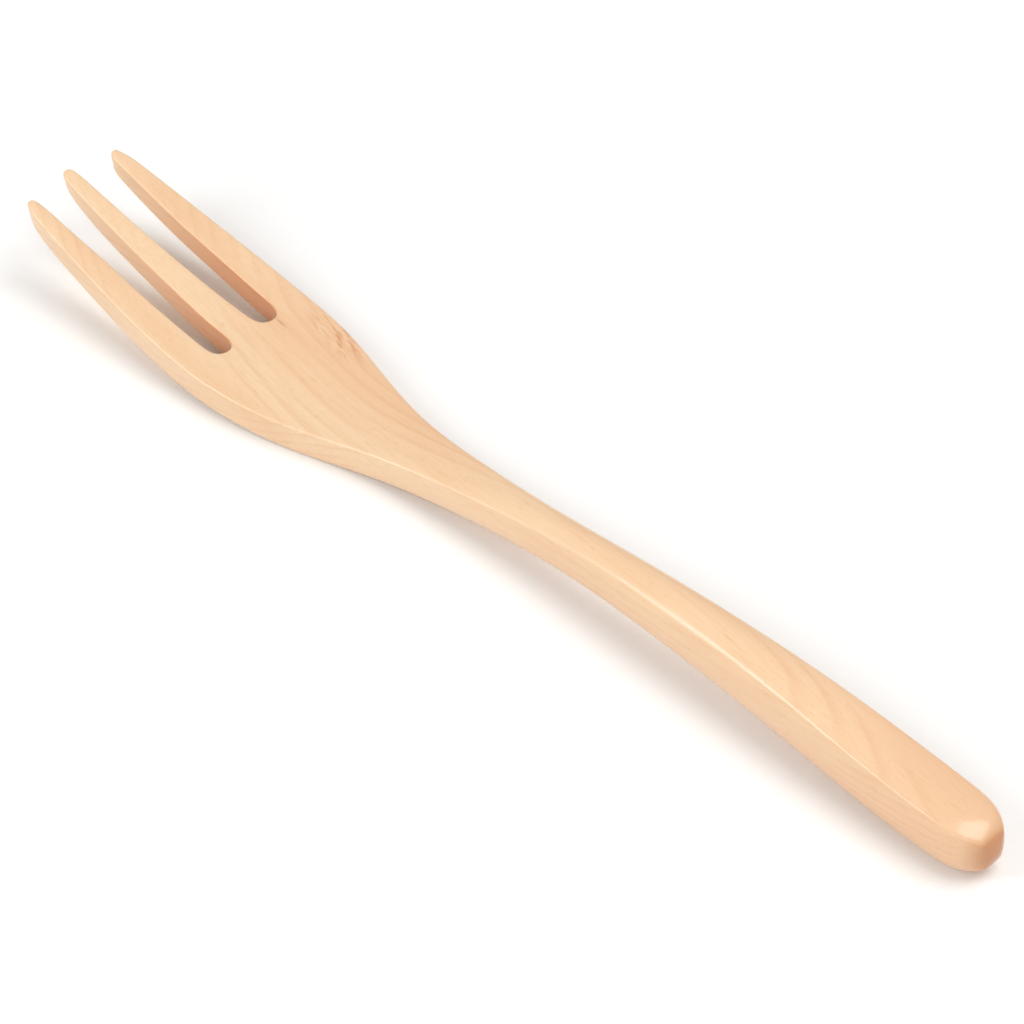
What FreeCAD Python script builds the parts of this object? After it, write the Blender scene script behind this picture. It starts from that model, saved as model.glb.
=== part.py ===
import FreeCAD, Part
import math
import os

# A wooden table fork carved from one blank: long rounded handle, slim neck, flat palm and three tines.
# Frame, in millimetres: +X runs from the butt of the handle to the tine tips, +Y is across the fork and
# +Z points up out of the hollow face. The origin is under the middle of the fork, on the table.

# ---- lengths along the fork ----
overall_length = 190.0
palm_length = 63.6  # from the slimmest point of the neck to the roots of the slots
tine_length = 40.4  # from the roots of the slots to the tips
outer_tine_setback = 1.2  # the outer tines end this much short of the middle one
butt_reach = 7.5  # how far the round end of the handle reaches, seen from above

# ---- widths, looking down ----
butt_width = 10.4
handle_width = 7.8  # about two thirds of the way from the butt to the neck
neck_width = 6.55
head_width = 24.4
tip_spread = 19.3  # over the outer sides of the two outer tines, at their tips
middle_root_width = 5.4
middle_tip_width = 2.5
outer_tip_width = 2.3
slot_width = 4.1  # at the root

# ---- heights, looking from the side ----
butt_thickness = 10.0
neck_thickness = 7.0
palm_thickness = 5.2
root_thickness = 4.65  # at the roots of the tines
tip_thickness = 3.2
handle_rise = 4.5  # height of the underside over the table, where the handle arches most
tip_rise = 11.0  # height of the underside over the table, at the tips

# ---- hand-finished roundings ----
slot_root_radius = 2.0
tip_corner_radius = 0.9
butt_edge_radius = 2.4
handle_edge_radius = 2.6
handle_belly_radius = 3.0
head_edge_radius = 0.6
head_belly_radius = 0.7

# ---- places worked out from the sizes above ----
handle_length = overall_length - palm_length - tine_length
slot_root = overall_length - tine_length
outer_tip = overall_length - outer_tine_setback
spare = 15.0  # how far a cutting shape reaches past the wood
touch = 0.01  # points closer than this are at the same place


def on_handle(share):
    """Distance from the butt, where share runs from 0 at the butt to 1 at the neck."""
    return share * handle_length


def on_palm(share):
    """Distance from the butt, where share runs from 0 at the neck to 1 at the slot roots."""
    return handle_length + share * palm_length


def on_tines(share):
    """Distance from the butt, where share runs from 0 at the slot roots to 1 at the tips."""
    return slot_root + share * tine_length


def between(low, high, share):
    """The value that lies a share of the way from low to high."""
    return low + share * (high - low)


# Where the rounding of the long edges changes from the handle's to the head's.
handle_rounding_end = on_handle(0.45)
neck_rounding_end = on_palm(0.25)
head_rounding_start = on_palm(0.62)


# ---- curves and faces ----
def smooth_curve(points, straight_start=False):
    """A curve through the points; with a straight start it leaves the first one along the fork."""
    places = [FreeCAD.Vector(*point) for point in points]
    curve = Part.BSplineCurve()
    if straight_start:
        along = FreeCAD.Vector(1, 0, 0)
        curve.interpolate(Points=places, InitialTangent=along, FinalTangent=places[-1] - places[-2])
    else:
        curve.interpolate(places)
    return curve


def parameter_at(curve, x):
    """The curve's own parameter at a distance from the butt."""
    low, high = curve.FirstParameter, curve.LastParameter
    while high - low > 1e-9:
        middle = (low + high) / 2
        if curve.value(middle).x < x:
            low = middle
        else:
            high = middle
    return low


def cut_at(curve, stations):
    """The curve as edges that meet at the given distances from the butt."""
    marks = [parameter_at(curve, station) for station in stations]
    marks = [curve.FirstParameter] + marks + [curve.LastParameter]
    edges = []
    for first, last in zip(marks, marks[1:]):
        piece = curve.copy()
        piece.segment(first, last)
        edges.append(piece.toShape())
    return edges


def line(start, end):
    return Part.makeLine(FreeCAD.Vector(*start), FreeCAD.Vector(*end))


def face_between(edges, corners):
    """The flat face inside the edges and the straight lines through the corners."""
    lines = [line(start, end) for start, end in zip(corners, corners[1:])]
    return Part.Face(Part.Wire(Part.__sortEdges__(edges + lines)))


def round_end():
    """Half an oval round the butt, from the left side to the right."""
    centre = FreeCAD.Vector(butt_reach, 0, 0)
    if butt_reach > butt_width / 2:
        oval = Part.Ellipse(centre, butt_reach, butt_width / 2)
    else:
        oval = Part.Circle(centre, FreeCAD.Vector(0, 0, 1), butt_reach)
    return Part.Arc(oval, math.pi / 2, 3 * math.pi / 2).toShape()


# ---- the two outlines of the fork ----
def side_points(side):
    """The outer side of the fork, from the butt to the outer tip; side is 1 for left, -1 for right."""
    flare = head_width - neck_width
    widths = [
        (butt_reach, butt_width),
        (on_handle(0.2), butt_width),
        (on_handle(0.42), between(handle_width, butt_width, 0.62)),
        (on_handle(0.72), handle_width),
        (on_handle(1.0), neck_width),
        (on_palm(0.34), neck_width + 0.14 * flare),
        (on_palm(0.5), neck_width + 0.28 * flare),
        (on_palm(0.66), neck_width + 0.58 * flare),
        (on_palm(0.84), neck_width + 0.91 * flare),
        (on_palm(1.03), head_width),
        (on_tines(0.55), between(head_width, tip_spread, 0.36)),
        (outer_tip, tip_spread),
    ]
    return [(x, side * width / 2, 0) for x, width in widths]


def side_outline():
    """Distance from the butt, height over the table and thickness, along the middle of the fork."""
    return [
        (on_handle(0.0), 0.0, butt_thickness),
        (on_handle(0.09), 0.05 * handle_rise, butt_thickness),
        (on_handle(0.2), 0.18 * handle_rise, butt_thickness),
        (on_handle(0.44), 0.66 * handle_rise, butt_thickness),
        (on_handle(0.72), 1.0 * handle_rise, between(neck_thickness, butt_thickness, 0.52)),
        (on_handle(1.0), 0.88 * handle_rise, neck_thickness),
        (on_palm(0.27), 0.52 * handle_rise, between(palm_thickness, neck_thickness, 0.35)),
        (on_palm(0.5), 0.14 * handle_rise, palm_thickness + 0.1),
        (on_palm(0.7), 0.0, palm_thickness),
        (on_palm(0.92), 0.07 * tip_rise, root_thickness + 0.05),
        (on_tines(0.28), 0.27 * tip_rise, between(tip_thickness, root_thickness, 0.75)),
        (on_tines(0.62), 0.58 * tip_rise, between(tip_thickness, root_thickness, 0.55)),
        (on_tines(1.0), tip_rise, tip_thickness),
    ]


low_points = [(x, 0, height) for x, height, thickness in side_outline()]
high_points = [(x, 0, height + thickness) for x, height, thickness in side_outline()]
low_curve = smooth_curve(low_points)
high_curve = smooth_curve(high_points)
cut_height = tip_rise + tip_thickness + 3 * spare


def blank():
    """The fork as sawn from the board: its outline from above, crossed with its outline from the side."""
    stations = [handle_rounding_end, neck_rounding_end, head_rounding_start]
    left = side_points(1)
    right = side_points(-1)
    edges = cut_at(smooth_curve(left, True), stations) + cut_at(smooth_curve(right, True), stations)
    edges.append(round_end())
    step = (tip_spread / 2 - outer_tip_width + middle_tip_width / 2) / 2
    steps = [(outer_tip, step, 0), (overall_length, step, 0), (overall_length, -step, 0), (outer_tip, -step, 0)]
    plan = face_between(edges, [left[-1]] + steps + [right[-1]])
    plan.translate(FreeCAD.Vector(0, 0, -spare))
    from_above = plan.extrude(FreeCAD.Vector(0, 0, cut_height))

    edges = [low_curve.toShape(), high_curve.toShape(), line(low_points[0], high_points[0])]
    profile = face_between(edges, [low_points[-1], high_points[-1]])
    profile.translate(FreeCAD.Vector(0, -head_width / 2 - spare, 0))
    from_the_side = profile.extrude(FreeCAD.Vector(0, head_width + 2 * spare, 0))
    return from_above.common(from_the_side).Solids[0]


def slot(side):
    """The wood taken out between the middle tine and one outer tine."""
    side_curve = smooth_curve(side_points(1), True)
    outer_root_width = (head_width - middle_root_width) / 2 - slot_width

    def inner_edge(x, taper):
        return x, between(middle_root_width, middle_tip_width, taper) / 2

    def outer_edge(x, taper):
        outer_side = side_curve.value(parameter_at(side_curve, x)).y
        return x, outer_side - between(outer_root_width, outer_tip_width, taper)

    inner = [inner_edge(slot_root, 0.0), inner_edge(on_tines(0.35), 0.28),
             inner_edge(on_tines(0.8), 0.75), inner_edge(overall_length, 1.0)]
    outer = [outer_edge(slot_root, 0.0), outer_edge(on_tines(0.35), 0.23),
             outer_edge(on_tines(0.8), 0.76), outer_edge(outer_tip, 1.0)]
    near = [(x, side * y, 0) for x, y in inner]
    far = [(x, side * y, 0) for x, y in outer]
    edges = [smooth_curve(near).toShape(), smooth_curve(far).toShape(), line(near[0], far[0])]
    beyond = overall_length + spare
    plan = face_between(edges, [near[-1], (beyond, near[-1][1], 0), (beyond, far[-1][1], 0), far[-1]])
    plan.translate(FreeCAD.Vector(0, 0, -spare))
    return plan.extrude(FreeCAD.Vector(0, 0, cut_height))


# ---- roundings ----
def is_upright(edge):
    first, last = edge.Vertexes[0].Point, edge.Vertexes[-1].Point
    return abs(first.x - last.x) < touch and abs(first.y - last.y) < touch


def corner_radii(edge):
    """The upright corners: two at each slot's root and two at each tine's tip."""
    if not is_upright(edge):
        return None
    x = edge.Vertexes[0].Point.x
    if abs(x - slot_root) < touch:
        radius = min(slot_root_radius, 0.48 * slot_width)
    elif x > outer_tip - touch:
        radius = min(tip_corner_radius, 0.4 * outer_tip_width, 0.4 * middle_tip_width)
    else:
        return None
    return radius, radius


def is_low(point):
    """Whether a point on the fork is nearer its underside than its top."""
    upright = Part.Line(FreeCAD.Vector(point.x, 0, -spare), FreeCAD.Vector(point.x, 0, cut_height))
    low = low_curve.intersectCC(upright)[0].Z
    high = high_curve.intersectCC(upright)[0].Z
    return point.z < (low + high) / 2


def edge_radius(x, low_side):
    """The rounding of the long edges: full on the handle, slim on the head."""
    oval_end_radius = (butt_width / 2) ** 2 / butt_reach  # no rounding can be fuller than this
    butt_top = min(butt_edge_radius, 0.9 * oval_end_radius)
    butt_low = min(handle_belly_radius, 0.9 * oval_end_radius)
    marks = [
        (0.0, butt_top, butt_low),
        (butt_reach, butt_top, butt_low),
        (handle_rounding_end, handle_edge_radius, handle_belly_radius),
        (neck_rounding_end, 0.75 * handle_edge_radius, 0.7 * handle_belly_radius),
        (head_rounding_start, head_edge_radius, head_belly_radius),
    ]
    for (start, top_start, low_start), (end, top_end, low_end) in zip(marks, marks[1:]):
        if x <= end:
            share = (x - start) / (end - start)
            return between(low_start, low_end, share) if low_side else between(top_start, top_end, share)
    return head_belly_radius if low_side else head_edge_radius


def long_radii(edge):
    """The edges that run round the fork's top and round its underside."""
    if is_upright(edge):
        return None
    ends = [edge.valueAt(edge.FirstParameter), edge.valueAt(edge.LastParameter)]
    middle = edge.valueAt((edge.FirstParameter + edge.LastParameter) / 2)
    low_side = is_low(middle)
    return tuple(edge_radius(end.x, low_side) for end in ends)


def round_off(solid, radii):
    """The solid with its edges rounded; radii gives the radius at an edge's two ends, or None."""
    document = FreeCAD.newDocument("fork")
    base = document.addObject("Part::Feature", "base")
    base.Shape = solid
    rounded = document.addObject("Part::Fillet", "rounded")
    rounded.Base = base
    choices = []
    for number, edge in enumerate(solid.Edges, 1):
        pair = radii(edge)
        if pair:
            choices.append((number, *pair))
    rounded.Edges = choices
    document.recompute()
    result = rounded.Shape.copy()
    FreeCAD.closeDocument(document.Name)
    return result.Solids[0]


# ---- the fork ----
fork = blank().cut(slot(1)).cut(slot(-1)).Solids[0]
fork = round_off(fork, corner_radii)
fork = round_off(fork, long_radii)
lowest = fork.optimalBoundingBox().ZMin
fork.translate(FreeCAD.Vector(-overall_length / 2, 0, -lowest))

os.makedirs("parts", exist_ok=True)
fork.exportStep("parts/fork.step")
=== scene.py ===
# %% [markdown]
# # A carved wooden fork
# The object is a table fork carved from one piece of pale wood: a long rounded handle, a slim neck and a
# flat head with three tines, hand sanded and finished with clear lacquer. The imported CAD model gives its
# size and place. This script lays a finer skin over it, mixes its wood and lacquer, and sets up a small
# studio. Sizes in the modelling cells are millimetres, and each finished mesh is scaled to metres.

# %% Load the CAD frame
import math

import bmesh
import bpy
import numpy as np
from mathutils import Matrix, Vector
from mathutils.bvhtree import BVHTree


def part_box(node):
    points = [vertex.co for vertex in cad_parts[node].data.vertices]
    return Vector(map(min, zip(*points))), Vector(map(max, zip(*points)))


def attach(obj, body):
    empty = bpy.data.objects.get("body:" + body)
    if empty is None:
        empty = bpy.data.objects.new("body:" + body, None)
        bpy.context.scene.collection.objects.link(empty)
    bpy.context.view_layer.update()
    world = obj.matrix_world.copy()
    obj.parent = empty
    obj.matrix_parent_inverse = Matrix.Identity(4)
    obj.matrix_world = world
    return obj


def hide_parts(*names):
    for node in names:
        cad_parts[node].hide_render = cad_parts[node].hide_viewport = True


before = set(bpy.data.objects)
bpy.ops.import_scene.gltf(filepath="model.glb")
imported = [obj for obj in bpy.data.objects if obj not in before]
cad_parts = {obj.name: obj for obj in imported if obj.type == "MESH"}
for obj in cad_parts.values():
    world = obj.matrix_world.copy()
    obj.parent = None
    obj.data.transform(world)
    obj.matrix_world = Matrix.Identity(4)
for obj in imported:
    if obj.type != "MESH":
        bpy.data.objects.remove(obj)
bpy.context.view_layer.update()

# %% [markdown]
# ## Sizes
# Length, width and height come from the CAD solid. The rest are the sizes a carver would mark on the
# blank: where the neck is slimmest, where the slots end, and how thick the wood is at a few places.

# %% Read the sizes of the fork
MM = 0.001

low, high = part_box("fork")
length = (high.x - low.x) / MM
head_width = (high.y - low.y) / MM
tip_top = high.z / MM

neck = length - 104.0  # distances along the fork are measured from the butt
slot_root = length - 40.4
root_radius = 2.05
setbacks = {1: 1.0, -1: 1.8}  # how much shorter the left and the right tine are than the middle one
slab = 5.0  # thickness of the flat blank before it is bent to the side outline
print(f"length {length:.1f}, head {head_width:.1f} wide, tips {tip_top:.1f} high, neck at {neck:.1f}")

# %% [markdown]
# ## Smooth outlines
# A carved outline is a fair curve through a few marked places. A natural cubic spline does the same:
# it bends as little as it can on its way through the points, so no flat spots or kinks are left.


# %% Make a smooth curve through marked places
def fair_curve(points):
    """A function that runs smoothly through (place, value) points."""
    places, values = np.array(points, float).T
    step = np.diff(places)
    slope = np.diff(values) / step
    size = len(places)
    system = np.eye(size)
    load = np.zeros(size)
    for n in range(1, size - 1):
        system[n, n - 1 : n + 2] = step[n - 1], 2 * (step[n - 1] + step[n]), step[n]
        load[n] = 6 * (slope[n] - slope[n - 1])
    bend = np.linalg.solve(system, load)

    def value(place):
        n = int(np.clip(np.searchsorted(places, place) - 1, 0, size - 2))
        before, after = place - places[n], places[n + 1] - place
        sag = (bend[n] * after**3 + bend[n + 1] * before**3) / (6 * step[n])
        start = (values[n] / step[n] - bend[n] * step[n] / 6) * after
        return float(sag + start + (values[n + 1] / step[n] - bend[n + 1] * step[n] / 6) * before)

    return value


half_width = fair_curve([
    (0, 5.1), (15, 5.2), (36, 4.7), (62, 3.85), (neck, 3.28), (104, 4.08), (118, 5.7), (128, 8.2),
    (138, 10.9), (152, head_width / 2), (172, 11.3), (182, 10.45), (length, 9.6),
])
underside = fair_curve([
    (0, 0.0), (8, 0.2), (16, 0.7), (38, 2.98), (62, 4.5), (74, 4.55), (neck, 3.95), (104, 2.3),
    (118, 0.65), (130, 0.0), (143, 0.58), (152, 1.2), (162, 2.9), (172, 5.3), (182, 8.0), (length, 10.3),
])
thickness = fair_curve([
    (0, 10.1), (16, 10.05), (38, 9.95), (62, 8.6), (neck, 6.95), (104, 5.8), (118, 5.35), (135, 4.95),
    (152, 4.65), (172, 4.2), (length, 3.7),
])
print(f"neck {2 * half_width(neck):.1f} wide and {thickness(neck):.1f} thick")

# %% [markdown]
# ## The blank from above
# The fork is first a flat slab, like the sawn blank: one grid whose columns run down the three tines,
# across the palm and on into the handle. Keeping the same columns all the way gives long even faces that
# follow the grain, which is what a subdivision surface likes. The slots are grid faces taken out.

# %% Choose the rows and columns of the grid
slot_inner = fair_curve([
    (slot_root - 5, 2.85), (152, 2.78), (165, 2.3), (175, 1.9), (183, 1.55), (188, 1.3),
])
slot_outer = fair_curve([
    (slot_root - 5, 6.85), (152, 6.78), (165, 6.95), (175, 6.92), (183, 7.2), (188, 7.3),
])

root_centre = slot_root + root_radius
butt_rows = [0.0, 0.8, 2.0, 3.8, 6.5, 10.0]
body_rows = list(np.linspace(14.0, root_centre - 4.6, 38))
root_rows = [root_centre - 2.2, root_centre]
tine_rows = list(np.linspace(root_centre + 2.6, length - 3.2, 11))
tip_rows = [length - 1.8, length - 0.8, length]
rows = butt_rows + body_rows + root_rows + tine_rows + tip_rows
first_tine_row = rows.index(root_centre)

middle_shares = [0.0, 0.34, 1.0]  # where the columns run on each half of the middle tine
tine_shares = [0.0, 0.33, 0.5, 0.67, 1.0]  # and on an outer tine, from its slot to its outer side
columns = 20  # twelve over the three tines and eight over the two slots
print(len(rows), "rows and", columns + 1, "lines of points")

# %% [markdown]
# ## Bending the grid to the outline
# Ahead of the slots every column keeps to its own tine. Behind them the columns spread out evenly by the
# time they reach the neck. The rows that pass a slot bow back round it, and fade to straight within
# 14 mm, so the end of the slot is round without a single odd face.


# %% Place the grid's points in plan
def across(column, place):
    """How far from the centre line a column runs, at a distance from the butt."""
    side = abs(column - columns // 2)
    inner, outer, edge = slot_inner(place), slot_outer(place), half_width(place)
    if side <= 2:
        return inner * middle_shares[side]
    if side < 6:
        middle, reach = (inner + outer) / 2, (outer - inner) / 2
        return middle - reach * math.cos(math.pi * (side - 2) / 4)
    return outer + (edge - outer) * tine_shares[side - 6]


def in_plan(row, column):
    """Where a grid point goes, before the blank is thickened."""
    place = rows[row]
    side = abs(column - columns // 2)
    sign = 1 if column > columns // 2 else -1
    root_layout = across(column, max(place, root_centre))
    share = min(1.0, max(0.0, (place - 112.0) / (root_centre - 112.0)))
    share = share * share * (3 - 2 * share)
    even_layout = half_width(place) * (1.0 if side == 10 else 0.74 * side / 9)
    edge_scale = half_width(place) / half_width(max(place, root_centre))
    y = share * root_layout * edge_scale + (1 - share) * even_layout
    x = place
    if 2 < side < 6 and row <= first_tine_row:
        fade = max(0.0, 1 - (root_centre - place) / 14.0)
        turn = math.pi * (side - 2) / 4
        x -= root_radius * fade * fade * math.sin(turn) ** 0.8 * (1 + 0.16 * sign * math.cos(turn))
    return Vector((x, sign * y, 0.0))


blank = bmesh.new()
bmesh.ops.create_grid(blank, x_segments=len(rows) - 1, y_segments=columns, size=1.0)
slot_faces = []
for face in blank.faces:
    centre = face.calc_center_median()
    row = (centre.x + 1) / 2 * (len(rows) - 1)
    side = abs(centre.y) * columns / 2
    if row > first_tine_row and 2 < side < 6:
        slot_faces.append(face)
bmesh.ops.delete(blank, geom=slot_faces, context="FACES")
for point in blank.verts:
    row = round((point.co.x + 1) / 2 * (len(rows) - 1))
    column = round((point.co.y + 1) / 2 * columns)
    point.co = in_plan(row, column)
print(len(blank.faces), "faces in the plan grid")


# %% [markdown]
# ## Rounding the tips
# Each tine ends in a small rounded tip. The last rows are drawn in towards the middle of their own tine
# along an ellipse, and the outer tines are pulled back a little, since they are shorter.

# %% Draw in the last rows of each tine
tip_reach = 3.0
tip_start = length - tip_reach
tip_middle = (slot_outer(length - 1) + half_width(length)) / 2
outer_roundness, middle_roundness = 0.8, 0.66  # 1 would bring a tip to a point
right_tip_shift = 0.3  # this hand-made fork's right tip leans in a little
between_tines = 4.7  # from the centre line to the middle of a slot
for point in blank.verts:
    if point.co.x < tip_start - 0.01:
        continue
    outer = abs(point.co.y) > slot_inner(tip_start) + 1.0
    centre = math.copysign(tip_middle, point.co.y) if outer else 0.0
    if point.co.y < -slot_inner(tip_start) - 1.0:
        point.co.y += right_tip_shift * (point.co.x - tip_start) / tip_reach
    share = (point.co.x - tip_start) / tip_reach
    squeeze = math.sqrt(1 - ((outer_roundness if outer else middle_roundness) * share) ** 2)
    across_tip = (point.co.y - centre) * squeeze
    end_drop = 0.45 * share * (across_tip / 1.1) ** 2
    point.co.y = centre + across_tip
    point.co.x -= end_drop
for point in blank.verts:
    if abs(point.co.y) > between_tines and point.co.x > root_centre:
        setback = setbacks[1 if point.co.y > 0 else -1]
        point.co.x -= setback * (point.co.x - root_centre) / (length - root_centre)
ends = [max(v.co.x for v in blank.verts if s * v.co.y > between_tines) for s in (1, -1)]
print(f"left tine ends at {ends[0]:.1f} mm from the butt, right one at {ends[1]:.1f} mm")

# %% [markdown]
# ## From sheet to slab
# Extruding the sheet gives the blank its thickness, and cuts across its edge leave enough faces to round
# the handle later. The rims are then bevelled, as a carver breaks every edge with sandpaper: a fine one
# round the top and a fuller one underneath.

# %% Thicken the blank and break its edges
sheet = blank.faces[:]
top = bmesh.ops.extrude_face_region(blank, geom=sheet)["geom"]
bmesh.ops.translate(blank, vec=(0, 0, slab), verts=[g for g in top if isinstance(g, bmesh.types.BMVert)])
bmesh.ops.recalc_face_normals(blank, faces=blank.faces[:])
uprights = [e for e in blank.edges if abs(e.verts[0].co.z - e.verts[1].co.z) > slab / 2]
bmesh.ops.subdivide_edges(blank, edges=uprights, cuts=3, use_grid_fill=True)


def rim(height):
    """The edges where the walls meet the top, or the underside, of the slab."""
    found = []
    for edge in blank.edges:
        level = all(abs(v.co.z - height) < 0.01 for v in edge.verts)
        if level and any(abs(f.normal.z) < 0.5 for f in edge.link_faces):
            found.append(edge)
    return found


for height, radius in ((slab, 0.5), (0.0, 0.55)):
    bmesh.ops.bevel(blank, geom=rim(height), offset=radius, offset_type="OFFSET", affect="EDGES",
                    segments=3, profile=0.5, material=-1, clamp_overlap=False)
print(len(blank.faces), "faces after the edges are broken")

# %% [markdown]
# ## Bending and rounding
# The slab now takes the side outline of the fork, and the handle's square section is eased towards an
# oval. The easing formula pulls in only the corners of a square, so one number per place is enough:
# 0 leaves it square, as on the head, and 1 makes it a full oval. The left top edge is sanded rounder than
# the right one along the middle of the handle. The same pass narrows the butt, hollows the head slightly
# and takes the lower corner of each tip back and up, so that the tines end in a slant.

# %% Bend the slab to the side outline and round the handle
ease_left = fair_curve([
    (0, 0.7), (3, 0.52), (8, 0.43), (16, 0.43), (28, 0.52), (42, 0.75), (58, 0.92), (78, 0.95),
    (92, 0.82), (106, 0.45), (122, 0.05), (length, 0.0),
])
ease_right = fair_curve([
    (0, 0.7), (3, 0.55), (8, 0.42), (16, 0.36), (30, 0.42), (45, 0.6), (66, 0.74), (90, 0.68),
    (106, 0.36), (122, 0.05), (length, 0.0),
])
ease_low = fair_curve([
    (0, 0.9), (12, 0.78), (45, 0.72), (70, 0.72), (90, 0.64), (106, 0.4), (122, 0.1), (length, 0.0),
])


def between(value, start, end):
    """0 before the start, 1 past the end, and an even S from one to the other."""
    share = min(1.0, max(0.0, (value - start) / (end - start)))
    return share * share * (3 - 2 * share)


butt_reach = 7.5  # how far the round end of the handle reaches
butt_narrowing = 0.63  # how much of its width the very end loses
butt_crown = 0.6  # how far the middle of the end stands out past its rim
butt_lift = 0.3
nose_reach, nose_setback, nose_lift = 9.0, 0.8, 1.3  # where a tip starts to slant, and how far it does
dish_depth = 0.6  # between the middle of the head and its sides
for point in blank.verts:
    place = point.co.x
    wide = half_width(place)
    tall = thickness(place) / 2
    u = point.co.y / wide
    v = 2 * point.co.z / slab - 1
    ease = max(0.0, (ease_low if v < 0 else ease_left if u > 0 else ease_right)(place))
    if place < root_centre:
        u, v = u * math.sqrt(1 - ease * v * v / 2), v * math.sqrt(1 - ease * u * u / 2)
    end = max(0.0, 1 - place / butt_reach)
    shrink = 1 - butt_narrowing * (1 - math.sqrt(1 - end * end))
    nose = max(0.0, (place - length + nose_reach) / nose_reach) ** 2 * (1 - v) / 2
    outside = between(abs(point.co.y), 2.8, 6.6)
    inside = (1 - outside) * (1 - 1.5 * between(place, 174.0, 190.0))
    dish = dish_depth / 2 * between(place, 146.0, 160.0) * (outside - inside)
    point.co.x = place + butt_crown * end**4 * (0.5 - (1 - u * u) * (1 - v * v)) - nose_setback * nose
    point.co.y = u * wide * shrink
    point.co.z = underside(place) + tall + v * tall * shrink + butt_lift * end + dish + nose_lift * nose
print(f"tips {max(v.co.z for v in blank.verts):.1f} mm high")

# %% [markdown]
# ## Sanding the butt
# The end of a handle is rounded by hand, so it has no corner where its faces meet. Moving each point there
# towards the average of its neighbours does the same, as a few strokes of sandpaper would. It changes the
# length a little, so the last 3 mm are stretched or squeezed until the butt is back at its mark.

# %% Smooth the end of the handle
sanded_length = 3.0
strokes = 4
for _ in range(strokes):
    near_end = [v for v in blank.verts if v.co.x < sanded_length]
    bmesh.ops.smooth_vert(
        blank, verts=near_end, factor=0.5, use_axis_x=True, use_axis_y=True, use_axis_z=True,
    )
butt = min(v.co.x for v in blank.verts)
for point in blank.verts:
    if point.co.x < sanded_length:
        inward = sanded_length - point.co.x
        point.co.x = sanded_length - inward * sanded_length / (sanded_length - butt)
print(f"the butt was at {butt:.2f} mm after sanding and is at {min(v.co.x for v in blank.verts):.2f} mm now")

# %% [markdown]
# ## The finished skin
# The blank is centred over the origin and scaled to metres. A subdivision surface then turns the long
# faces into one smooth skin, as the last fine sanding does.


# %% Make the fork object
def new_piece(name, shape):
    """A mesh object from a bmesh whose sizes are millimetres."""
    bmesh.ops.scale(shape, vec=(MM, MM, MM), verts=shape.verts[:])
    bmesh.ops.recalc_face_normals(shape, faces=shape.faces[:])
    mesh = bpy.data.meshes.new(name)
    shape.to_mesh(mesh)
    shape.free()
    for face in mesh.polygons:
        face.use_smooth = True
    piece = bpy.data.objects.new(name, mesh)
    bpy.context.scene.collection.objects.link(piece)
    return piece


lowest = min(v.co.z for v in blank.verts)
bmesh.ops.translate(blank, vec=(-length / 2, 0, -lowest), verts=blank.verts[:])
fork = new_piece("carved_fork", blank)
skin = fork.modifiers.new("fine sanding", "SUBSURF")
skin.levels = 2
skin.render_levels = 2
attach(fork, "root")
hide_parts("fork")
print("made", fork.name)

# %% [markdown]
# ## How far the skin is from the solid
# The skin stands in for the CAD solid, so it has to lie close to it. A tree of the solid's faces finds the
# nearest place on it for every point of the finished skin, and the largest gap shows where they part.

# %% Measure how well the skin follows the CAD solid
bpy.context.view_layer.update()
cad_tree = BVHTree.FromPolygons(
    [v.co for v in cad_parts["fork"].data.vertices],
    [list(f.vertices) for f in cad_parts["fork"].data.polygons],
)
finished = fork.evaluated_get(bpy.context.evaluated_depsgraph_get()).to_mesh()
gaps = [(cad_tree.find_nearest(v.co)[3] / MM, v.co.copy()) for v in finished.vertices]
worst, where = max(gaps, key=lambda pair: pair[0])
mean_gap = sum(gap for gap, _ in gaps) / len(gaps)
print(f"gap to the CAD solid: {mean_gap:.2f} mm on average, {worst:.2f} mm at most, at {where}")
print(len(finished.polygons), "faces in the finished skin")

# %% [markdown]
# ## Colours and shader helpers
# Colours are picked as sRGB hex values, as on a paint chart. Blender mixes light in linear values, so one
# function turns each hex value to linear. A second one adds a shader node with its settings and links.


# %% Turn hex colours to linear and add shader nodes
def paint(code):
    """A linear RGBA colour from an sRGB hex code."""
    channels = [int(code[n : n + 2], 16) / 255 for n in (0, 2, 4)]
    return tuple(c / 12.92 if c <= 0.04045 else ((c + 0.055) / 1.055) ** 2.4 for c in channels) + (1.0,)


def add_node(tree, kind, settings=None, links=None):
    """Add a shader node; settings and links are keyed by property name, socket name or socket number."""
    node = tree.nodes.new("ShaderNode" + kind)
    for name, value in (settings or {}).items():
        if hasattr(node, str(name)):
            setattr(node, name, value)
        else:
            node.inputs[name].default_value = value
    for name, source in (links or {}).items():
        tree.links.new(source, node.inputs[name])
    return node


print("pale wood in linear values:", [round(c, 3) for c in paint("EBC59C")])

# %% [markdown]
# ## Where the grain runs
# The fork was sawn lengthwise from a plank, so its rings run along it. The heart of the tree is taken to
# lie about 55 mm away, low on the right, and tilted six degrees to the fork: that is why the lines cross
# the palm at a slant. A Mapping node in texture mode places a pattern like an object: its location is the
# heart, and its scale is the size of one unit of the pattern, so every size below is a real one.

# %% Start the wood and lay out its rings
wood = bpy.data.materials.new("lacquered_pale_birch")
wood.use_nodes = True
grain = wood.node_tree
grain.nodes.clear()
on_object = add_node(grain, "TexCoord")

heart = Vector((0.0, -30.0, -46.0)) * MM
heart_turn = (0.0, math.radians(2.0), math.radians(-6.0))


def laid_out(sizes, at=heart, turn=heart_turn):
    """Object coordinates measured from a place, turned, and divided by a size along each axis in mm."""
    settings = {"vector_type": "TEXTURE", "Location": at, "Rotation": turn, "Scale": Vector(sizes) * MM}
    mapping = add_node(grain, "Mapping", settings, {"Vector": on_object.outputs["Object"]})
    return mapping.outputs["Vector"]


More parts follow.
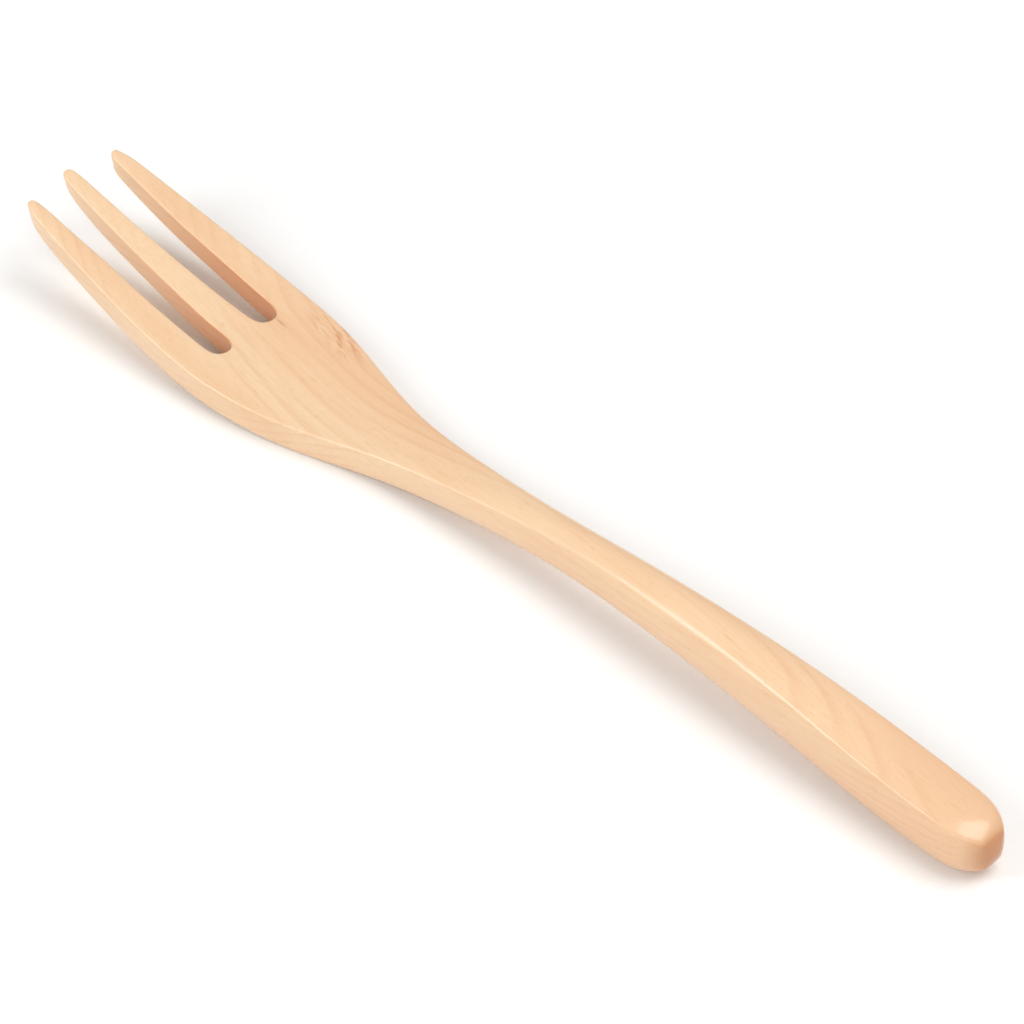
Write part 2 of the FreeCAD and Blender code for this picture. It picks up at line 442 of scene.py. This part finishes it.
def noise(sizes, detail=2.0, roughness=0.5, at=heart):
    """Soft random patches of about the given sizes in mm."""
    node = add_node(grain, "TexNoise", {"Scale": 1.0, "Detail": detail, "Roughness": roughness},
                    {"Vector": laid_out(sizes, at)})
    return node.outputs["Fac"]


def stretched(value, low, high, bottom=0.0, top=1.0):
    """Map a value so that low becomes bottom and high becomes top, with soft ends."""
    settings = {"From Min": low, "From Max": high, "To Min": bottom, "To Max": top}
    settings["interpolation_type"] = "SMOOTHSTEP"
    return add_node(grain, "MapRange", settings, {"Value": value}).outputs["Result"]


ring_width = 1.25  # millimetres of wood per year
rings = add_node(grain, "TexWave", {
    "wave_type": "RINGS", "rings_direction": "X", "wave_profile": "SAW", "Scale": math.pi / 10 / ring_width,
    "Distortion": 9.0, "Detail": 2.5, "Detail Scale": 0.22, "Detail Roughness": 0.55,
}, {"Vector": laid_out((11.0, 1.0, 1.0))})
late_wood = add_node(grain, "ValToRGB", links={"Fac": rings.outputs["Fac"]})
ramp = late_wood.color_ramp
ramp.elements[0].color = (0.0, 0.0, 0.0, 1.0)
ramp.elements[1].color = (0.0, 0.0, 0.0, 1.0)
for position, tone in ((0.45, 0.1), (0.82, 1.0), (0.9, 0.85)):
    ramp.elements.new(position).color = (tone, tone, tone, 1.0)
print(f"rings {ring_width} mm wide round a heart {heart.length / MM:.0f} mm away")

# %% [markdown]
# ## Colour of the wood
# Pale birch is cream in its broad early wood and a little more orange in the thin late wood of each ring.
# On top of the rings come fine lengthwise fibres, slow drifts from cream to pink, and tiny dashes where
# pores are cut open. Real pores are near 0.1 mm wide; they are drawn about twice that so that they show.


# %% Mix the colour of the wood
def colour_mix(amount, under, over):
    """A colour that goes from under to over as the amount goes from 0 to 1."""
    node = add_node(grain, "Mix", {"data_type": "RGBA"})
    colour_in = {"A": node.inputs[6], "B": node.inputs[7]}
    grain.links.new(amount, node.inputs[0])
    for key, colour in (("A", under), ("B", over)):
        if isinstance(colour, str):
            colour_in[key].default_value = paint(colour)
        else:
            grain.links.new(colour, colour_in[key])
    return node.outputs[2]


def times(first, second):
    """The product of two values; the second may be a plain number."""
    if isinstance(second, float):
        node = add_node(grain, "Math", {"operation": "MULTIPLY", 1: second}, {0: first})
    else:
        node = add_node(grain, "Math", {"operation": "MULTIPLY"}, {0: first, 1: second})
    return node.outputs[0]


outward = add_node(grain, "VectorMath", {"operation": "LENGTH"}, {0: laid_out((10000.0, 1.0, 1.0))})
sapwood = stretched(outward.outputs["Value"], 53.0, 66.0)
body = colour_mix(sapwood, "E8BB93", "EFCDA6")
drift = stretched(noise((60.0, 7.0, 9.0), 1.5), 0.4, 0.7, 0.0, 0.5)
body = colour_mix(drift, body, "E6B68B")
clear_rings = stretched(noise((45.0, 6.0, 8.0), 1.0), 0.42, 0.68, 0.03, 0.3)
body = colour_mix(times(late_wood.outputs["Color"], clear_rings), body, "DCA578")
fibres = noise((22.0, 0.4, 0.4), 3.0, 0.6)
body = colour_mix(stretched(fibres, 0.42, 0.72, 0.0, 0.25), body, "DDAE82")
pores = stretched(noise((1.6, 0.22, 0.22), 0.0), 0.72, 0.8, 0.0, 0.2)
body = colour_mix(pores, body, "C28A5C")
print("colour mixed from", len(grain.nodes), "nodes so far")

# %% [markdown]
# ## Marks that make it one particular fork
# No two blanks are alike. This one has reddish curled grain on its right shoulder, left by a branch that
# grew nearby, and a short dark check line behind the right slot. Each mark is a soft ellipsoid placed in
# the wood, so it shows on every face that cuts through it.


# %% Add the curl and the check line
def spot(at, sizes, turn_degrees):
    """1 in the middle of an ellipsoid of wood, falling softly to 0 at its edge; all in mm."""
    turn = (0.0, 0.0, math.radians(turn_degrees))
    inside = laid_out(sizes, Vector(at) * MM, turn)
    reach = add_node(grain, "VectorMath", {"operation": "LENGTH"}, {0: inside})
    return stretched(reach.outputs["Value"], 1.0, 0.1)


along_curl = laid_out((4.0, 0.9, 3.0), Vector((44.5, -10.3, 5.0)) * MM, (0.0, 0.0, math.radians(-15.0)))
curl_lines = add_node(grain, "TexNoise", {"Scale": 1.0, "Detail": 2.0, "Roughness": 0.5, "Distortion": 0.6},
                      {"Vector": along_curl})
curl_area = spot((45.0, -9.8, 4.0), (9.5, 4.4, 5.0), -8.0)
curl = times(stretched(curl_lines.outputs["Fac"], 0.44, 0.62), curl_area)
body = colour_mix(times(curl, 0.8), body, "CB8656")
check = spot((53.2, -5.2, 5.5), (1.9, 0.32, 1.6), -5.0)
body = colour_mix(times(check, 0.5), body, "A8784F")
print("two marks added,", len(grain.nodes), "nodes so far")

# %% [markdown]
# ## End grain, and painted shade on the slot walls
# Where fibres are cut across, at the butt and at the slot roots, they drink in lacquer and look darker.
# The walls inside the slots carry painted shade: they are darker and more orange near the roots, which
# stands in for the shade and the warm bounce light between the tines. The first is picked out by how far a
# face looks along the fork, the second by its place in millimetres and by how far it looks sideways. The
# painted shade fades towards the tips.

# %% Darken the end grain and paint shade on the slot walls
facing = add_node(grain, "SeparateXYZ", links={0: on_object.outputs["Normal"]})
across_fibres = add_node(grain, "Math", {"operation": "ABSOLUTE"}, {0: facing.outputs["X"]})
body = colour_mix(stretched(across_fibres.outputs[0], 0.35, 1.0, 0.0, 0.9), body, "C07C48")

in_fork = add_node(grain, "SeparateXYZ", links={0: laid_out((1.0, 1.0, 1.0), Vector(), (0.0, 0.0, 0.0))})
off_centre = add_node(grain, "Math", {"operation": "ABSOLUTE"}, {0: in_fork.outputs["Y"]})
sideways = add_node(grain, "Math", {"operation": "ABSOLUTE"}, {0: facing.outputs["Y"]})
# Painted shade: the slot walls are darkened and turned orange, most near the roots, where the tines shade
# them
near_slots = stretched(off_centre.outputs[0], 7.6, 8.4, 1.0, 0.0)
shaded_slot_walls = times(near_slots, stretched(sideways.outputs[0], 0.4, 0.8))
shade_toward_roots = stretched(in_fork.outputs["X"], 52.0, 92.0, 0.65, 0.0)
ahead_of_palm = stretched(in_fork.outputs["X"], 50.0, 52.0)
body = colour_mix(times(times(shaded_slot_walls, shade_toward_roots), ahead_of_palm), body, "DE8F50")
print("end grain and slot walls darkened,", len(grain.nodes), "nodes so far")

# %% [markdown]
# ## Lacquer
# The lacquer is the coat of the shader: clear, index 1.5, sanded between coats to a soft gloss. It gives
# the eye the fine bright line along the rounded edges. The fibres stay just visible as relief under it.

# %% Add the lacquer
relief = add_node(grain, "Bump", {"Strength": 0.35, "Distance": 0.02 * MM}, {"Height": fibres})
lacquered = add_node(grain, "BsdfPrincipled", {
    "Roughness": 0.55, "IOR": 1.5, "Specular IOR Level": 0.3,
    "Coat Weight": 0.9, "Coat Roughness": 0.17, "Coat IOR": 1.5,
}, {"Base Color": body, "Normal": relief.outputs["Normal"]})
add_node(grain, "OutputMaterial", links={"Surface": lacquered.outputs["BSDF"]})
fork.data.materials.append(wood)
print("wood has", len(grain.nodes), "nodes")

# %% [markdown]
# ## Studio floor
# A fork like this is shown on plain white paper that runs on past the edge of the view. Paper is matt, so
# it is rough and mirrors almost nothing.

# %% Lay the floor
ground = bmesh.new()
bmesh.ops.create_grid(ground, x_segments=1, y_segments=1, size=3000.0)
floor = new_piece("pale_floor", ground)
paper = bpy.data.materials.new("white_paper")
paper.use_nodes = True
matt = paper.node_tree.nodes["Principled BSDF"].inputs
matt["Base Color"].default_value = paint("F7F7F6")
matt["Roughness"].default_value = 0.9
matt["Specular IOR Level"].default_value = 0.1
floor.data.materials.append(paper)
print(f"floor {floor.dimensions.x:.0f} m wide")

# %% [markdown]
# ## Light
# The light is soft and comes from all round, as in a white room with softboxes. The key stands past the
# tines on the left, and a big one hangs overhead behind the right side. Two weak ones, low on the left and
# past the butt, fill the left side. What the lacquer mirrors as bright lines is the shape of these boxes.


# %% Hang the lights
def softbox(name, at, width, height, watts):
    """A rectangular area light at a place in metres, turned to the fork."""
    lamp = bpy.data.lights.new(name, "AREA")
    lamp.shape = "RECTANGLE"
    lamp.size = width
    lamp.size_y = height
    lamp.energy = watts
    light = bpy.data.objects.new(name, lamp)
    light.location = at
    light.rotation_euler = (-Vector(at)).to_track_quat("-Z", "Y").to_euler()
    bpy.context.scene.collection.objects.link(light)
    return light


lamps = [
    softbox("key", (0.4, 0.7, 0.62), 0.35, 0.5, 3.2),
    softbox("low_side", (-0.1, 0.9, 0.3), 0.5, 0.3, 0.5),
    softbox("overhead", (-0.35, -0.25, 0.95), 0.7, 0.7, 6.3),
    softbox("front", (-0.6, 0.5, 0.6), 0.25, 0.25, 1.0),
]
world = bpy.data.worlds.new("white_room")
world.use_nodes = True
world.node_tree.nodes["Background"].inputs["Color"].default_value = paint("FFFFFF")
world.node_tree.nodes["Background"].inputs["Strength"].default_value = 0.44
bpy.context.scene.world = world
bpy.context.scene.view_settings.view_transform = "Standard"
print(f"{len(lamps)} softboxes of {sum(lamp.data.energy for lamp in lamps):.0f} W in all, and a white room")

# %% [markdown]
# ## Camera
# The camera looks down at 46 degrees, from past the butt on the left. A narrow lens from far away keeps the
# near butt from looking bigger than it is, which is how small goods are usually shown.

# %% Place the camera
view_azimuth = math.radians(134.53)
view_height = math.radians(46.06)
view_roll = math.radians(-0.63)
view_distance = 0.8604
aim = Vector((-0.0011, 0.0003, 0.0071))
towards = Vector((
    math.cos(view_height) * math.cos(view_azimuth),
    math.cos(view_height) * math.sin(view_azimuth),
    math.sin(view_height),
))
lens = bpy.data.cameras.new("camera")
lens.angle = math.radians(9.994)
camera = bpy.data.objects.new("camera", lens)
turn = (-towards).to_track_quat("-Z", "Y").to_matrix().to_4x4() @ Matrix.Rotation(view_roll, 4, "Z")
camera.matrix_world = Matrix.Translation(aim + view_distance * towards) @ turn
bpy.context.scene.collection.objects.link(camera)
bpy.context.scene.camera = camera
print(f"camera {view_distance} m away, {math.degrees(lens.angle):.1f} degrees wide")

# %% [markdown]
# ## Bringing the scene up to date
# The skin mustn't change the size of the fork. The last cell brings the scene up to date.

# %% Update the scene
bpy.context.view_layer.update()
